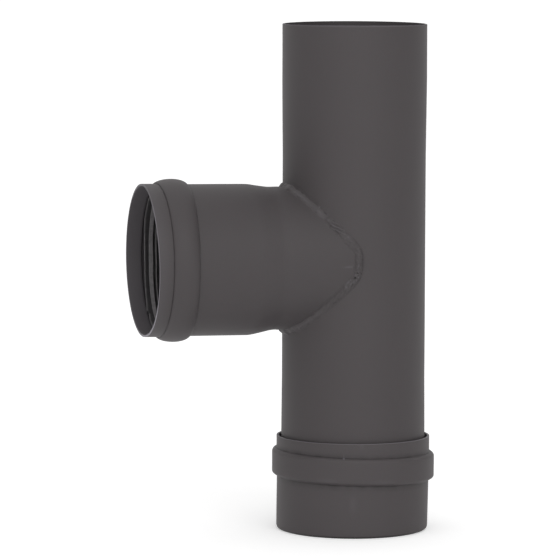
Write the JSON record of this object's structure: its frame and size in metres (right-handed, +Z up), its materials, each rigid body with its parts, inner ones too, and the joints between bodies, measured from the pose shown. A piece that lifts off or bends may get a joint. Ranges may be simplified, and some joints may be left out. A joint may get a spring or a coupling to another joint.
{
  "type": "stove pipe tee",
  "caption": "Flue tee: straight tube with a plain male top end, side branch with a beaded gasketed socket, and a push-on cleanout cap with a lip seal at the foot.",
  "frame": {"origin": "on the run tube's axis at the underside of the cleanout cap", "axes": "+Z up along the run tube towards its plain male end, -X out of the branch's mouth, Y across"},
  "size_m": [0.1657, 0.0904, 0.2807],
  "materials": {
    "painted_steel": "matt stove paint in dark warm grey",
    "seal_silicone": "satin black silicone"
  },
  "bodies": {
    "tee": {"run_tube": "painted_steel", "branch_stub": "painted_steel", "saddle_weld": "painted_steel", "branch_seal": "seal_silicone"},
    "cap": {"cleanout_cap": "painted_steel", "cap_seal": "seal_silicone"}
  },
  "joints": [
    {"name": "cap_pull", "type": "slide", "parent": "tee", "child": "cap", "axis": [0, 0, -1], "range_m": [0, 0.06]}
  ]
}
